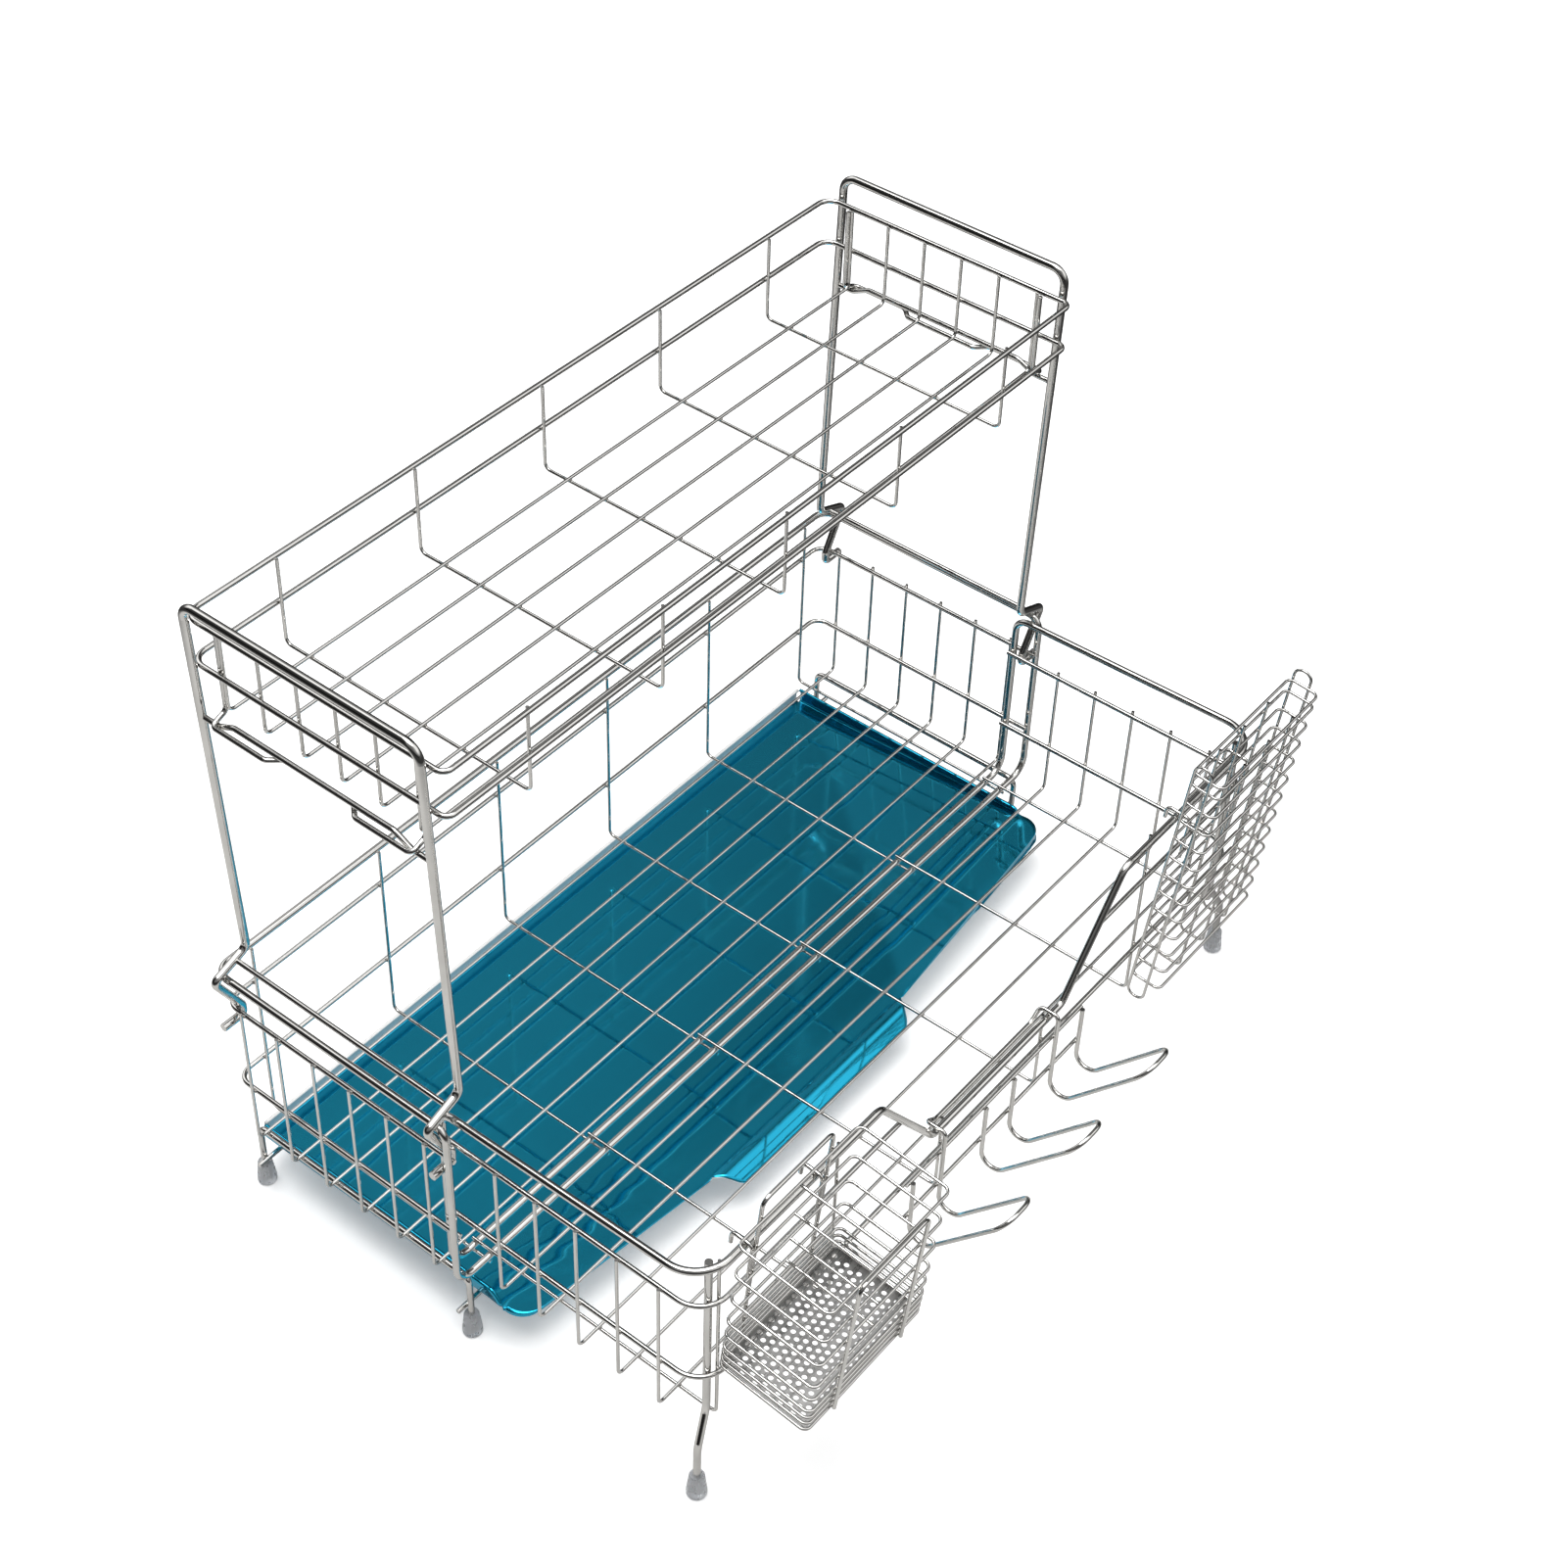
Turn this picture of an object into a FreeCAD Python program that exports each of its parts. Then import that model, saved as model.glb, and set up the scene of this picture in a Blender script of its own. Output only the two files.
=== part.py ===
"""Two-tier stainless-steel dish drying rack, bent and welded from round wire.

Frame: millimetres, +X to the rack's right-hand end, +Y to the back, +Z up.  The origin lies on the
table under the centre of the rack.  Both ends mirror each other in the plane X = 0, so most wires
are given by their distance "half" from that plane.
"""
import FreeCAD, Part
import math
import os

V = FreeCAD.Vector
os.makedirs("parts", exist_ok=True)

# ---------------------------------------------------------------- wire diameters
HOOP_D = 5.0            # end hoops that carry the upper tier
FRAME_D = 4.4           # closed frames of the two lower baskets, and the front legs
FOOT_D = 3.8            # foot frames under the rear basket
CUP_HOOK_D = 2.8
BAR_D = 3.2             # cross bars of the end hoops, rims of the top basket
HANGER_D = 3.0
RAIL_D = 3.0            # middle and upper rails of the lower baskets
THIN_D = 2.0            # plate wires and cross wires
RING_D = 1.8            # rings of the cutlery basket and of the board holder
LOOP_D = 2.4            # loops, hooks and bars of the hung pieces
GAP = 0.3               # play between pieces that come apart

# ---------------------------------------------------------------- overall layout
SIDES = (-1, 1)         # left and right end
CROSS_PITCH = 97.7      # spacing of the cross wires along the rack
REAR_BACK = 202.3       # back run of the rear basket's frame
HOOP_BACK = 193.4       # rear legs of the end hoops
HOOP_FRONT = 35.1       # front legs of the end hoops
HOOP_MIDDLE = (HOOP_BACK + HOOP_FRONT) / 2

# ---------------------------------------------------------------- rear basket
FLOOR_Z = 49.7                                  # top of the lowest layer of wires
CROSS_Z = FLOOR_Z - THIN_D / 2                  # rear cross wires
PLATE_Z = FLOOR_Z + THIN_D / 2                  # rear plate wires lie on the cross wires
EDGE_Z = FLOOR_Z + FRAME_D / 2                  # front edge wire lies on the cross wires too
REAR_EDGE_Y = 29.7
REAR_RAIL_HALF = 264.6
REAR_FRAME_HALF = REAR_RAIL_HALF + (RAIL_D + FRAME_D) / 2
REAR_PLATE_HALF = REAR_RAIL_HALF + (RAIL_D + THIN_D) / 2
REAR_RIM_Z = 181.0
REAR_UPPER_RAIL_Z = 153.6
REAR_MIDDLE_RAIL_Z = 91.0
REAR_UPRIGHT_Y = REAR_BACK - (FRAME_D + THIN_D) / 2
REAR_RAIL_Y = REAR_UPRIGHT_Y + (THIN_D + RAIL_D) / 2
REAR_PLATE_BACK = 186.8                         # rearmost plate wire
REAR_PLATE_PITCH = 27.65
REAR_PLATES = 6

# ---------------------------------------------------------------- front basket
FRONT_EDGE_Y = 41.2                             # its rear edge wire overlaps the rear basket
FRONT_EDGE_Z = EDGE_Z                           # and rests on its cross wires
FRONT_CROSS_Z = FRONT_EDGE_Z + (FRAME_D + THIN_D) / 2
FRONT_PLATE_Z = FRONT_CROSS_Z + THIN_D
FRONT_RAIL_HALF = 256.0
FRONT_FRAME_HALF = FRONT_RAIL_HALF + (RAIL_D + FRAME_D) / 2
FRONT_PLATE_HALF = FRONT_RAIL_HALF + (RAIL_D + THIN_D) / 2
FRONT_UPRIGHT_Y = -130.9
FRONT_RAIL_Y = FRONT_UPRIGHT_Y - (THIN_D + RAIL_D) / 2
FRONT_RIM_Y = FRONT_UPRIGHT_Y - (THIN_D + FRAME_D) / 2
FRONT_RIM_BACK_Z = 181.0
FRONT_RIM_Z = 185.0                             # the rim rises a little towards the front
DIP_Z = 114.5                                   # the low middle of the front rim
DIP_HALF = 62.5                                 # half length of the low stretch
DIP_TOP_HALF = 115.0                            # where the ramps meet the full height
FRONT_UPPER_RAIL_Z = 154.2
FRONT_MIDDLE_RAIL_Z = 94.0
FRONT_PLATE_BACK = 6.0
FRONT_PLATE_PITCH = 27.87
FRONT_PLATES = 5
FRONT_END_CROSS = 242.0                         # outermost cross wires, beside the legs
LEG_HALF = 246.0                                # front legs, inside the rails' corners
LEG_Y = -127.4
LEG_FOOT_HALF = 258.0                           # the feet stand further out
LEG_FOOT_Y = -131.6

# ---------------------------------------------------------------- feet
FOOT_BAR_Z = FLOOR_Z - FOOT_D / 2
FOOT_HALF = 259.8
FOOT_BACK = 194.9
FOOT_FRONT = 29.9
CAP_D = 10.0
CAP_BASE_D = 11.5
CAP_HEIGHT = 17.0
CAP_FLOOR = 3.0                                 # rubber under the wire's end

# ---------------------------------------------------------------- end hoops
HOOP_TOP_Z = 440.0
HOOP_TOP_HALF = 260.4
SHOULDER = (251.8, 193.5)                       # (half, z) where the leg turns outwards
RIM_TURN = (276.6, 184.0)                       # outside the rim
RAIL_TURN = (260.3, 154.0)                      # back inside the upper rail
HEEL = (260.3, 146.9)
TOE = (275.0, 146.9)                            # end of the stub under the rail
LOWER_BAR = (260.5, 190.2)
BAR_LOW_Z = 365.6
BAR_HIGH_Z = 371.2
BAR_JOG_OUT = 180.9                             # the bar rises between these two depths
BAR_JOG_IN = 169.4

# ---------------------------------------------------------------- top basket
TOP_FLOOR_Z = 372.1                             # plate wires
TOP_CROSS_Z = TOP_FLOOR_Z - THIN_D
TOP_RIM_Z = 424.9
TOP_RIM2_Z = 396.4
TOP_PLATE_HALF = 251.5
TOP_RIM_HALF = TOP_PLATE_HALF + (THIN_D + BAR_D) / 2
TOP_UPRIGHT_BACK = 197.9
TOP_UPRIGHT_FRONT = 28.9
TOP_RIM_BACK = TOP_UPRIGHT_BACK + (THIN_D + BAR_D) / 2
TOP_RIM_FRONT = TOP_UPRIGHT_FRONT - (THIN_D + BAR_D) / 2
TOP_PLATE_BACK = 179.7
TOP_PLATE_PITCH = 26.5
TOP_PLATES = 6
HANGER_HALF = TOP_RIM_HALF - (BAR_D + HANGER_D) / 2
HANGER_OUT_HALF = 261.4                         # run outside the end hoop's bar
HANGER_IN_HALF = 255.0                          # middle stretch, under the inside of the bar
HANGER_OVER_Z = 371.5                           # the hanger bends out over the bar's low end
HANGER_RUN_Z = 367.4
HANGER_IN_Z = 367.2

# ---------------------------------------------------------------- drip tray
TRAY_HALF = 251.0
TRAY_BACK = 203.9
TRAY_SHOULDER_Y = 11.9                          # where the side flanges end
TRAY_CORNER_Y = -1.1
TRAY_CORNER_R = 14.0
TRAY_LIP_X = -17.0
TRAY_LIP_HALF = 93.0
TRAY_LIP_Y = -17.1                              # crease where the lip starts
TRAY_LIP_END = -32.1
TRAY_LIP_SLANT = 12.0                           # the lip narrows this much at each side
TRAY_SHEET = 0.8
TRAY_Z = 23.6                                   # underside at the rear support wire
TRAY_FLANGE = 11.0
TRAY_RAIL_D = 3.0
TRAY_RAIL_Z = TRAY_Z - GAP - TRAY_RAIL_D / 2

# ---------------------------------------------------------------- cutlery basket
CUTLERY_X = -196.6
CUTLERY_Y = -144.1                              # back plane at the top ring
CUTLERY_WIDTH = 97.0
CUTLERY_DEPTH = 57.3
CUTLERY_TOP_Z = 211.2
CUTLERY_DROPS = (0.0, 25.0, 47.0, 67.0, 79.0, 90.0, 96.0, 101.5, 107.0)
CUTLERY_TILT = 5.5
CUTLERY_LOOP_HALF = 28.0                        # legs of its front and back loops

# ---------------------------------------------------------------- cup hooks
CUP_HOOK_X = -5.0
CUP_HOOK_PITCH = 68.4
CUP_HOOK_WIDTH = 27.5
CUP_HOOK_Y = FRONT_RIM_Y - 6.6                  # the bars pass in front of the rim
CUP_HOOK_PLAY = 0.9                             # the saddle's height over the rim
CUP_HOOK_TOP_Z = 102.0
CUP_HOOK_HEEL = (-151.1, 54.0)                  # (y, z) where the arm starts
CUP_HOOK_TIP = (-200.5, 114.0)                  # (y, z) of the rounded end
CUP_HOOK_BARS = (100.5, 72.5)                   # heights of the two bars

# ---------------------------------------------------------------- board holder
BOARD_X = 196.3
BOARD_Y = -151.3                                # back plane at the top ring
BOARD_WIDTH = 104.0
BOARD_DEPTH = 19.8
BOARD_TOP_Z = 248.6
BOARD_TILT = 5.6
BOARD_RINGS = 13
BOARD_FIRST_GAP = 9.0
BOARD_HEIGHT = 176.0
BOARD_HOOKS = (-27.0, 37.4)


# ================================================================ helpers
def bent_wire(points, diameter, bend, closed=False):
    """Round wire along straight runs joined by arcs of radius bend (one value or one per corner)."""
    pts = [V(*p) for p in points]
    n = len(pts)
    corners = range(n) if closed else range(1, n - 1)
    arcs = {}
    for k, i in enumerate(corners):
        radius = bend[k] if isinstance(bend, (list, tuple)) else bend
        before = (pts[i - 1] - pts[i]).normalize()
        after = (pts[(i + 1) % n] - pts[i]).normalize()
        half_turn = (math.pi - before.getAngle(after)) / 2
        reach = radius * math.tan(half_turn)
        middle = pts[i] + (before + after).normalize() * (radius / math.cos(half_turn) - radius)
        arcs[i] = (pts[i] + before * reach, middle, pts[i] + after * reach)
    edges = []
    here = arcs[0][2] if closed else pts[0]
    first = here
    for i in list(range(1, n)) + ([0] if closed else []):
        there = arcs[i][0] if i in arcs else pts[i]
        if (there - here).Length > 1e-6:
            edges.append(Part.LineSegment(here, there).toShape())
        here = there
        if i in arcs:
            edges.append(Part.Arc(*arcs[i]).toShape())
            here = arcs[i][2]
    path = Part.Wire(edges)
    start = edges[0].tangentAt(edges[0].FirstParameter)
    section = Part.Wire([Part.Circle(first, start, diameter / 2).toShape()])
    solid = path.makePipeShell([section], True, False)
    return Part.Solid(solid) if solid.ShapeType != "Solid" else solid


def rod(start, end, diameter):
    """Straight round wire."""
    a = V(*start)
    run = V(*end) - a
    return Part.makeCylinder(diameter / 2, run.Length, a, run)


def save(name, solids):
    """Write one node; its separate solids stay separate."""
    solids = solids if isinstance(solids, list) else [solids]
    shape = solids[0] if len(solids) == 1 else Part.makeCompound(solids)
    shape.exportStep("parts/" + name + ".step")
    print(name, len(solids), "solid(s), volume", round(shape.Volume, 1), "valid", shape.isValid())


def spread(count, pitch):
    """Centred positions."""
    return [(i - (count - 1) / 2) * pitch for i in range(count)]


def hang(solids, depth, height, tilt):
    """Place solids drawn hanging from (0, 0) and tip their lower end towards the rack."""
    placed = []
    for solid in solids:
        copy = solid.copy()
        copy.rotate(V(0, 0, 0), V(1, 0, 0), tilt)
        copy.translate(V(0, depth, height))
        placed.append(copy)
    return placed


def half_at(z):
    """Distance of a hoop's leg from the middle of the rack at height z."""
    share = (z - SHOULDER[1]) / (HOOP_TOP_Z - SHOULDER[1])
    return SHOULDER[0] + (HOOP_TOP_HALF - SHOULDER[0]) * share


# ================================================================ rear basket
def rear_basket():
    h, back, edge = REAR_FRAME_HALF, REAR_BACK, REAR_EDGE_Y
    loop = [(0, edge, EDGE_Z), (h, edge, EDGE_Z), (h, edge, REAR_RIM_Z), (h, back, REAR_RIM_Z),
            (-h, back, REAR_RIM_Z), (-h, edge, REAR_RIM_Z), (-h, edge, EDGE_Z)]
    # the loop is closed in the middle of the front edge, where it is straight
    save("rear_basket_frame", bent_wire(loop[1:], FRAME_D, [12, 9, 10, 10, 9, 12], closed=True))
    for name, z in (("rear_upper_rail", REAR_UPPER_RAIL_Z), ("rear_middle_rail", REAR_MIDDLE_RAIL_Z)):
        r = REAR_RAIL_HALF
        save(name, bent_wire([(-r, edge - 1, z), (-r, REAR_RAIL_Y, z), (r, REAR_RAIL_Y, z),
                              (r, edge - 1, z)], RAIL_D, 9))
    top = REAR_UPPER_RAIL_Z + RAIL_D / 2 + 0.5
    p = REAR_PLATE_HALF
    plates = []
    for i in range(REAR_PLATES):
        y = REAR_PLATE_BACK - i * REAR_PLATE_PITCH
        plates.append(bent_wire([(-p, y, top), (-p, y, PLATE_Z), (p, y, PLATE_Z), (p, y, top)],
                                THIN_D, 4))
    save("rear_plate_wires", plates)
    cross = []
    for x in spread(6, CROSS_PITCH):
        cross.append(bent_wire([(x, edge - 2, CROSS_Z), (x, REAR_UPRIGHT_Y, CROSS_Z),
                                (x, REAR_UPRIGHT_Y, REAR_RIM_Z)], THIN_D, 4))
    save("rear_cross_wires", cross)


def feet():
    leg_end = CAP_FLOOR
    caps = []
    for side, name in zip(SIDES, ("left", "right")):
        x = side * FOOT_HALF
        save("foot_frame_" + name,
             bent_wire([(x, FOOT_BACK, leg_end), (x, FOOT_BACK, FOOT_BAR_Z),
                        (x, FOOT_FRONT, FOOT_BAR_Z), (x, FOOT_FRONT, leg_end)], FOOT_D, 6))
        caps += [foot_cap(x, y, FOOT_D) for y in (FOOT_BACK, FOOT_FRONT)]
    save("rear_foot_caps", caps)
    save("front_foot_caps", [foot_cap(side * LEG_FOOT_HALF, LEG_FOOT_Y, FRAME_D) for side in SIDES])
    reach = FOOT_HALF + 7
    # the wires run just inside the foot frames' legs and are welded to them
    offset = (FOOT_D + TRAY_RAIL_D) / 2
    save("tray_support_wires", [rod((-reach, y, TRAY_RAIL_Z), (reach, y, TRAY_RAIL_Z), TRAY_RAIL_D)
                                for y in (FOOT_BACK - offset, FOOT_FRONT + offset)])


def foot_cap(x, y, wire_d):
    """Soft cap, wider at the floor, with a blind bore for the wire's end."""
    outline = [V(0, 0, 0), V(CAP_BASE_D / 2 - 1, 0, 0), V(CAP_BASE_D / 2, 0, 1),
               V(CAP_BASE_D / 2, 0, 4), V(CAP_D / 2 - 0.6, 0, CAP_HEIGHT - 1),
               V(CAP_D / 2 - 1.4, 0, CAP_HEIGHT), V(wire_d / 2, 0, CAP_HEIGHT),
               V(wire_d / 2, 0, CAP_FLOOR), V(0, 0, CAP_FLOOR), V(0, 0, 0)]
    cap = Part.Face(Part.makePolygon(outline)).revolve(V(0, 0, 0), V(0, 0, 1), 360)
    cap.translate(V(x, y, 0))
    return cap


# ================================================================ front basket
def front_basket():
    h, edge, rim_y = FRONT_FRAME_HALF, FRONT_EDGE_Y, FRONT_RIM_Y
    right = [(h, edge, FRONT_EDGE_Z), (h, edge, FRONT_RIM_BACK_Z), (h, rim_y, FRONT_RIM_Z),
             (DIP_TOP_HALF, rim_y, FRONT_RIM_Z), (DIP_HALF, rim_y, DIP_Z)]
    left = [(-x, y, z) for x, y, z in reversed(right)]
    bends = [12, 9, 22, 10, 7]
    save("front_basket_frame", bent_wire(right + left, FRAME_D, bends + bends[::-1], closed=True))

    r, rail_y = FRONT_RAIL_HALF, FRONT_RAIL_Y
    ramp = DIP_TOP_HALF - (FRONT_RIM_Z - FRONT_UPPER_RAIL_Z) * (
        (DIP_TOP_HALF - DIP_HALF) / (FRONT_RIM_Z - DIP_Z))
    z = FRONT_UPPER_RAIL_Z
    save("front_upper_rails",
         [bent_wire([(s * r, edge + 2, z), (s * r, rail_y, z), (s * (ramp + 2), rail_y, z)], RAIL_D, 18)
          for s in SIDES])
    z = FRONT_MIDDLE_RAIL_Z
    save("front_middle_rail", bent_wire([(-r, edge + 2, z), (-r, rail_y, z), (r, rail_y, z),
                                         (r, edge + 2, z)], RAIL_D, 18))
    top = FRONT_UPPER_RAIL_Z + RAIL_D / 2 + 0.5
    p = FRONT_PLATE_HALF
    plates = []
    for i in range(FRONT_PLATES):
        y = FRONT_PLATE_BACK - i * FRONT_PLATE_PITCH
        plates.append(bent_wire([(-p, y, top), (-p, y, FRONT_PLATE_Z), (p, y, FRONT_PLATE_Z),
                                 (p, y, top)], THIN_D, 4))
    save("front_plate_wires", plates)
    cross = []
    for i, x in enumerate(spread(6, CROSS_PITCH)):
        if i in (0, 5):
            x = math.copysign(FRONT_END_CROSS, x)
        rim_z = DIP_Z if abs(x) < DIP_HALF else FRONT_RIM_Z
        cross.append(bent_wire([(x, edge + 2, FRONT_CROSS_Z), (x, FRONT_UPRIGHT_Y, FRONT_CROSS_Z),
                                (x, FRONT_UPRIGHT_Y, rim_z)], THIN_D, 4))
    save("front_cross_wires", cross)
    legs = []
    for s in SIDES:
        legs.append(bent_wire([(s * LEG_HALF, LEG_Y, FRONT_RIM_Z), (s * LEG_HALF, LEG_Y, 62),
                               (s * LEG_FOOT_HALF, LEG_FOOT_Y, 40),
                               (s * LEG_FOOT_HALF, LEG_FOOT_Y, CAP_FLOOR)], FRAME_D, 14))
    save("front_legs", legs)


# ================================================================ upper tier
def end_hoops():
    for side, name in zip(SIDES, ("left", "right")):
        profile = [TOE, HEEL, RAIL_TURN, RIM_TURN, SHOULDER, (HOOP_TOP_HALF, HOOP_TOP_Z)]
        path = [(side * a, HOOP_FRONT, z) for a, z in profile]
        path += [(side * a, HOOP_BACK, z) for a, z in reversed(profile)]
        bends = [3, 4, 3.2, 6, 9]
        save("end_hoop_" + name, bent_wire(path, HOOP_D, bends + bends[::-1]))

        touch = HOOP_D / 2 - 0.1
        low, high = BAR_LOW_Z, BAR_HIGH_Z
        x = side * half_at(BAR_LOW_Z)
        mirror = 2 * HOOP_MIDDLE
        path = [(x, HOOP_BACK - touch, low), (x, BAR_JOG_OUT, low), (x, BAR_JOG_IN, high),
                (x, mirror - BAR_JOG_IN, high), (x, mirror - BAR_JOG_OUT, low),
                (x, HOOP_FRONT + touch, low)]
        save("upper_cross_bar_" + name, bent_wire(path, BAR_D, 6))
        x, z = side * LOWER_BAR[0], LOWER_BAR[1]
        save("lower_cross_bar_" + name,
             rod((x, HOOP_FRONT + touch, z), (x, HOOP_BACK - touch, z), BAR_D))


def top_basket():
    h, back, front = TOP_RIM_HALF, TOP_RIM_BACK, TOP_RIM_FRONT
    for name, z in (("top_basket_rim", TOP_RIM_Z), ("top_basket_second_rim", TOP_RIM2_Z)):
        save(name, bent_wire([(h, front, z), (h, back, z), (-h, back, z), (-h, front, z)],
                             BAR_D, [5, 9, 9, 5], closed=True))
    p = TOP_PLATE_HALF
    plates = []
    for i in range(TOP_PLATES):
        y = TOP_PLATE_BACK - i * TOP_PLATE_PITCH
        plates.append(bent_wire([(-p, y, TOP_RIM_Z), (-p, y, TOP_FLOOR_Z), (p, y, TOP_FLOOR_Z),
                                 (p, y, TOP_RIM_Z)], THIN_D, 4))
    save("top_plate_wires", plates)
    cross = []
    for x in spread(5, CROSS_PITCH):
        cross.append(bent_wire([(x, TOP_UPRIGHT_FRONT, TOP_RIM_Z), (x, TOP_UPRIGHT_FRONT, TOP_CROSS_Z),
                                (x, TOP_UPRIGHT_BACK, TOP_CROSS_Z), (x, TOP_UPRIGHT_BACK, TOP_RIM_Z)],
                               THIN_D, 4))
    save("top_cross_wires", cross)
    span = (TOP_PLATES - 1) * TOP_PLATE_PITCH
    middle = TOP_PLATE_BACK - span / 2
    reach = (span + THIN_D + HANGER_D) / 2
    inner, outer = 24, 31
    for side, name in zip(SIDES, ("left", "right")):
        half = [(HANGER_HALF, reach, TOP_RIM_Z - 1), (HANGER_HALF, reach, HANGER_OVER_Z),
                (HANGER_OUT_HALF, reach, HANGER_RUN_Z), (HANGER_OUT_HALF, outer, HANGER_RUN_Z),
                (HANGER_IN_HALF, inner, HANGER_IN_Z)]
        path = [(side * x, middle + y, z) for x, y, z in half]
        path += [(side * x, middle - y, z) for x, y, z in reversed(half)]
        bends = [4, 3.5, 5, 4]
        save("top_basket_hanger_" + name, bent_wire(path, HANGER_D, bends + bends[::-1]))


# ================================================================ drip tray
def drip_tray():
    """Sheet-metal tray: flanges at the back and both ends, front tapered to a pouring lip."""
    t, zf, w = TRAY_SHEET, TRAY_Z, TRAY_HALF
    edge = [(-w, TRAY_BACK), (-w, TRAY_CORNER_Y), (TRAY_LIP_X - TRAY_LIP_HALF, TRAY_LIP_Y),
            (TRAY_LIP_X + TRAY_LIP_HALF, TRAY_LIP_Y), (w, TRAY_CORNER_Y), (w, TRAY_BACK)]
    sheet = Part.Face(Part.makePolygon([V(x, y, zf) for x, y in edge + edge[:1]]))
    tray = sheet.extrude(V(0, 0, t))
    corners = [e for e in tray.Edges
               if abs(abs(e.CenterOfMass.x) - w) < 1e-3 and abs(e.CenterOfMass.y - TRAY_CORNER_Y) < 1e-3
               and abs(e.BoundBox.ZLength - t) < 1e-3]
    tray = tray.makeFillet(TRAY_CORNER_R, corners)
    run = TRAY_BACK - TRAY_SHOULDER_Y
    for s in SIDES:
        x = -w if s < 0 else w - t
        profile = [V(x, TRAY_SHOULDER_Y, zf), V(x, TRAY_BACK, zf), V(x, TRAY_BACK, zf + TRAY_FLANGE),
                   V(x, TRAY_SHOULDER_Y + TRAY_FLANGE, zf + TRAY_FLANGE), V(x, TRAY_SHOULDER_Y, zf + t)]
        tray = tray.fuse(Part.Face(Part.makePolygon(profile + profile[:1])).extrude(V(t, 0, 0)))
    tray = tray.fuse(Part.makeBox(2 * w, t, TRAY_FLANGE, V(-w, TRAY_BACK - t, zf)))
    # the lip rises to a low ridge, then turns down
    steps = [(TRAY_LIP_Y + 0.5, 0.0), (TRAY_LIP_Y - 5, 1.6), (TRAY_LIP_END, -5.0)]
    for (ya, za), (yb, zb) in zip(steps, steps[1:]):
        ends = []
        for y, z in ((ya, za), (yb, zb)):
            share = (TRAY_LIP_Y + 0.5 - y) / (TRAY_LIP_Y + 0.5 - TRAY_LIP_END)
            half = TRAY_LIP_HALF - 2 - TRAY_LIP_SLANT * share
            a, b = TRAY_LIP_X - half, TRAY_LIP_X + half
            ends.append(Part.makePolygon([V(a, y, zf + z), V(b, y, zf + z), V(b, y, zf + z + t),
                                          V(a, y, zf + z + t), V(a, y, zf + z)]))
        tray = tray.fuse(Part.makeLoft(ends, True, True))
    save("drip_tray", tray.removeSplitter())


# ================================================================ cutlery basket
def ring(width, depth, z, diameter, corner):
    w = width / 2
    return bent_wire([(-w, 0, z), (w, 0, z), (w, -depth, z), (-w, -depth, z)], diameter, corner,
                     closed=True)


def cutlery_basket():
    w, d, drop = CUTLERY_WIDTH, CUTLERY_DEPTH, CUTLERY_DROPS[-1]

    def place(name, solids):
        moved = hang(solids, CUTLERY_Y, CUTLERY_TOP_Z, CUTLERY_TILT)
        for solid in moved:
            solid.translate(V(CUTLERY_X, 0, 0))
        save(name, moved)

    place("cutlery_rings", [ring(w, d, -z, RING_D, 4) for z in CUTLERY_DROPS])
    outside = (RING_D + LOOP_D) / 2
    half, front = CUTLERY_LOOP_HALF, -d - outside
    place("cutlery_front_loop", [bent_wire([(-half, front, -drop), (-half, front, 1), (half, front, 1),
                                            (half, front, -drop)], LOOP_D, 5)])
    place("cutlery_back_loop", [bent_wire([(-half, outside, -drop), (-half, outside, 13),
                                           (half, outside, 13), (half, outside, -drop)], LOOP_D, 5)])
    rungs = []
    for z in CUTLERY_DROPS[:4]:
        rungs.append(rod((0, -RING_D / 2, -z), (0, -d + RING_D / 2, -z), RING_D))
    place("cutlery_partition", rungs)
    place("cutlery_base_plate", [perforated_plate(w - RING_D - 0.6, d - RING_D - 0.6, -drop, 0.8)])
    # each hook runs up beside a leg of the back loop and over the rim
    rim_y, rim_z = in_tilted_frame(FRONT_RIM_Y - CUTLERY_Y, FRONT_RIM_Z - CUTLERY_TOP_Z, CUTLERY_TILT)
    over = rim_z + (FRAME_D + LOOP_D) / 2 + GAP
    past = rim_y + 8.0
    hooks = []
    for x in (-half - LOOP_D, half - LOOP_D):
        hooks.append(bent_wire([(x, outside, over - 30), (x, outside, over), (x, past, over),
                                (x, past, over - 9)], LOOP_D, 3.5))
    place("cutlery_hooks", hooks)


def in_tilted_frame(y, z, tilt):
    """Offset (y, z) as seen in a frame that is tipped by tilt about X."""
    a = math.radians(tilt)
    return y * math.cos(a) + z * math.sin(a), z * math.cos(a) - y * math.sin(a)


def perforated_plate(width, depth, z, thickness):
    """Plate with staggered round holes."""
    pitch, hole_d, margin = 4.8, 3.0, 3.2
    w, d = width / 2, depth
    y0 = -(CUTLERY_DEPTH - depth) / 2
    outer = Part.makePolygon([V(-w, y0, z), V(w, y0, z), V(w, y0 - d, z), V(-w, y0 - d, z), V(-w, y0, z)])
    wires = [outer]
    row_pitch = pitch * math.sqrt(3) / 2
    rows = int((d - 2 * margin) / row_pitch) + 1
    for row in range(rows):
        shift = pitch / 2 if row % 2 else 0
        count = int((width - 2 * margin - shift) / pitch) + 1
        y = y0 - margin - row * row_pitch
        for i in range(count):
            x = -w + margin + shift + i * pitch
            wires.append(Part.Wire([Part.Circle(V(x, y, z), V(0, 0, 1), hole_d / 2).toShape()]))
    face = Part.makeFace(wires, "Part::FaceMakerBullseye")
    return face.extrude(V(0, 0, thickness))


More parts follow.
